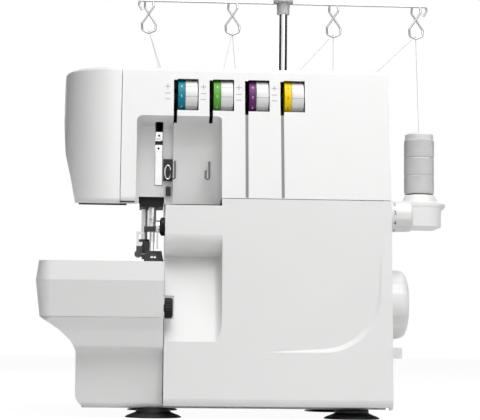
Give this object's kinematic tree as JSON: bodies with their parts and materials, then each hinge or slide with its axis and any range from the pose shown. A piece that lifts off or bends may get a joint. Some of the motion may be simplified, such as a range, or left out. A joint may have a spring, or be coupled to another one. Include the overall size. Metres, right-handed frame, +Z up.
{
  "type": "overlock sewing machine",
  "caption": "White domestic overlock sewing machine with hinged looper cover, slide-off table, coloured tension dials, handwheel, telescopic thread stand and spools.",
  "frame": {"origin": "on the table under the middle of the whole outline", "axes": "+X to the handwheel side, +Y to the back, +Z up"},
  "size_m": [0.363, 0.26, 0.382],
  "materials": {
    "cover_white": "satin moulded",
    "base_grey": "painted pan",
    "foot_black": "matte",
    "cast_frame": "cast",
    "steel": "ground",
    "dark_steel": "blackened",
    "chrome_wire": "bright",
    "black_plastic": "moulded",
    "grey_plastic": "moulded",
    "bronze": "sintered",
    "belt_rubber": "matte",
    "motor_can": "painted",
    "dial_teal": "moulded",
    "dial_green": "moulded",
    "dial_purple": "moulded",
    "dial_yellow": "moulded",
    "thread_grey": "wound",
    "core_white": "moulded"
  },
  "bodies": {
    "chassis": {"base_pan": "base_grey", "lower_housing": "cover_white", "head_cover": "cover_white", "rear_cover": "cover_white", "face_cover": "cover_white", "base_cover": "cover_white", "arm_cover": "cover_white", "rubber_feet": "foot_black", "main_frame": "cast_frame", "needle_plate": "steel", "lower_knife": "steel", "bearing_bushes": "bronze", "motor": "motor_can", "cover_screws": "steel", "tension_bracket": "cast_frame", "tension_discs": "steel", "tension_springs": "steel", "recess_guides": "black_plastic", "top_thread_guides": "chrome_wire", "spool_stand": "cover_white", "spool_discs": "cover_white", "spool_cores": "core_white", "thread_windings": "thread_grey", "spool_threads": "thread_grey", "guide_threads": "thread_grey", "mast_tube": "chrome_wire", "drive_belt": "belt_rubber", "presser_spring": "steel"},
    "cover_rod": {"cover_hinge_rod": "steel"},
    "front_cover": {"front_cover": "cover_white"},
    "work_table": {"work_table": "cover_white"},
    "drive": {"main_shaft": "steel", "drive_pulley": "grey_plastic", "handwheel": "cover_white"},
    "motor_rotor": {"motor_pulley": "grey_plastic"},
    "rocker": {"rocker_shaft": "steel"},
    "con_rod": {"connecting_rod": "steel"},
    "needle": {"needle_bar": "steel", "needle_clamp": "dark_steel", "needles": "steel", "take_up_block": "steel"},
    "presser": {"presser_bar": "steel", "presser_foot": "dark_steel", "foot_release": "dark_steel"},
    "lifter": {"presser_lifter": "black_plastic"},
    "knife": {"upper_knife": "steel", "knife_knob": "black_plastic"},
    "lower_looper": {"lower_looper": "steel"},
    "upper_looper": {"upper_looper": "steel"},
    "feed": {"feed_dogs": "steel"},
    "tension_1": {"tension_dial_1": "dial_teal"},
    "tension_2": {"tension_dial_2": "dial_green"},
    "tension_3": {"tension_dial_3": "dial_purple"},
    "tension_4": {"tension_dial_4": "dial_yellow"},
    "length_dial": {"stitch_length_dial": "cover_white"},
    "width_dial": {"cutting_width_dial": "black_plastic"},
    "switch": {"power_switch": "black_plastic"},
    "mast": {"mast_slider": "chrome_wire", "mast_cap": "grey_plastic", "thread_tree": "chrome_wire"}
  },
  "joints": [
    {"name": "cover_shift", "type": "slide", "parent": "chassis", "child": "cover_rod", "axis": [1, 0, 0], "range_m": [0, 0.008]},
    {"name": "cover_open", "type": "hinge", "parent": "cover_rod", "child": "front_cover", "pos_m": [0.01, -0.11, 0.0155], "axis": [1, 0, 0], "range_deg": [0, 90]},
    {"name": "table_off", "type": "slide", "parent": "chassis", "child": "work_table", "axis": [-1, 0, 0], "range_m": [0, 0.12]},
    {"name": "wheel_turn", "type": "hinge", "parent": "chassis", "child": "drive", "pos_m": [0.11, -0.018, 0.0938], "axis": [1, 0, 0], "continuous": true},
    {"name": "motor_turn", "type": "hinge", "parent": "chassis", "child": "motor_rotor", "pos_m": [0.06, 0.034, 0.045], "axis": [1, 0, 0], "continuous": true},
    {"name": "rocker_swing", "type": "hinge", "parent": "chassis", "child": "rocker", "pos_m": [-0.02, -0.005, 0.222], "axis": [1, 0, 0], "range_deg": [-10.3, 12.6]},
    {"name": "needle_stroke", "type": "slide", "parent": "chassis", "child": "needle", "axis": [0, 0, 1], "range_m": [-0.011, 0.009]},
    {"name": "rod_stroke", "type": "slide", "parent": "chassis", "child": "con_rod", "axis": [0, 0, 1], "range_m": [-0.00287, 0.00235]},
    {"name": "lifter_turn", "type": "hinge", "parent": "chassis", "child": "lifter", "pos_m": [-0.0976, 0.02, 0.212], "axis": [0, 1, 0], "range_deg": [0, 65]},
    {"name": "presser_lift", "type": "slide", "parent": "chassis", "child": "presser", "axis": [0, 0, 1], "range_m": [0, 0.005], "deforming": ["presser_spring"]},
    {"name": "knife_turn", "type": "hinge", "parent": "chassis", "child": "knife", "pos_m": [-0.07, -0.079, 0.1528], "axis": [1, 0, 0], "range_deg": [-110, 0]},
    {"name": "lower_looper_swing", "type": "hinge", "parent": "chassis", "child": "lower_looper", "pos_m": [-0.064, -0.03, 0.084], "axis": [0, 1, 0], "range_deg": [-4.95, 4.05]},
    {"name": "upper_looper_swing", "type": "hinge", "parent": "chassis", "child": "upper_looper", "pos_m": [-0.064, -0.06, 0.084], "axis": [0, 1, 0], "range_deg": [-6, 7.35]},
    {"name": "feed_move", "type": "slide", "parent": "chassis", "child": "feed", "axis": [0, 1, 0], "range_m": [-0.002, 0.002]},
    {"name": "tension_turn_1", "type": "hinge", "parent": "chassis", "child": "tension_1", "pos_m": [-0.064, -0.0725, 0.2585], "axis": [1, 0, 0], "range_deg": [-150, 150]},
    {"name": "tension_turn_2", "type": "hinge", "parent": "chassis", "child": "tension_2", "pos_m": [-0.0351, -0.0725, 0.2585], "axis": [1, 0, 0], "range_deg": [-150, 150]},
    {"name": "tension_turn_3", "type": "hinge", "parent": "chassis", "child": "tension_3", "pos_m": [-0.0062, -0.0725, 0.2585], "axis": [1, 0, 0], "range_deg": [-150, 150]},
    {"name": "tension_turn_4", "type": "hinge", "parent": "chassis", "child": "tension_4", "pos_m": [0.0227, -0.0725, 0.2585], "axis": [1, 0, 0], "range_deg": [-150, 150]},
    {"name": "length_turn", "type": "hinge", "parent": "chassis", "child": "length_dial", "pos_m": [0.11, -0.038, 0.1673], "axis": [1, 0, 0], "range_deg": [-120, 120]},
    {"name": "width_turn", "type": "hinge", "parent": "chassis", "child": "width_dial", "pos_m": [-0.08, -0.121, 0.086], "axis": [1, 0, 0], "range_deg": [-150, 150]},
    {"name": "switch_rock", "type": "hinge", "parent": "chassis", "child": "switch", "pos_m": [0.116, -0.024, 0.0527], "axis": [0, 0, 1], "range_deg": [0, 14]},
    {"name": "mast_push", "type": "slide", "parent": "chassis", "child": "mast", "axis": [0, 0, 1], "range_m": [-0.04, 0], "deforming": ["spool_threads", "guide_threads"]}
  ],
  "couplings": [
    {"joint": "motor_turn", "follows": "wheel_turn", "ratio": 4},
    {"joint": "needle_stroke", "follows": "rocker_swing", "m_per_rad": -0.05},
    {"joint": "rod_stroke", "follows": "rocker_swing", "m_per_rad": -0.013},
    {"joint": "lower_looper_swing", "follows": "rocker_swing", "ratio": -0.39},
    {"joint": "upper_looper_swing", "follows": "rocker_swing", "ratio": 0.58},
    {"joint": "lifter_turn", "follows": "presser_lift", "rad_per_m": 226.8}
  ]
}
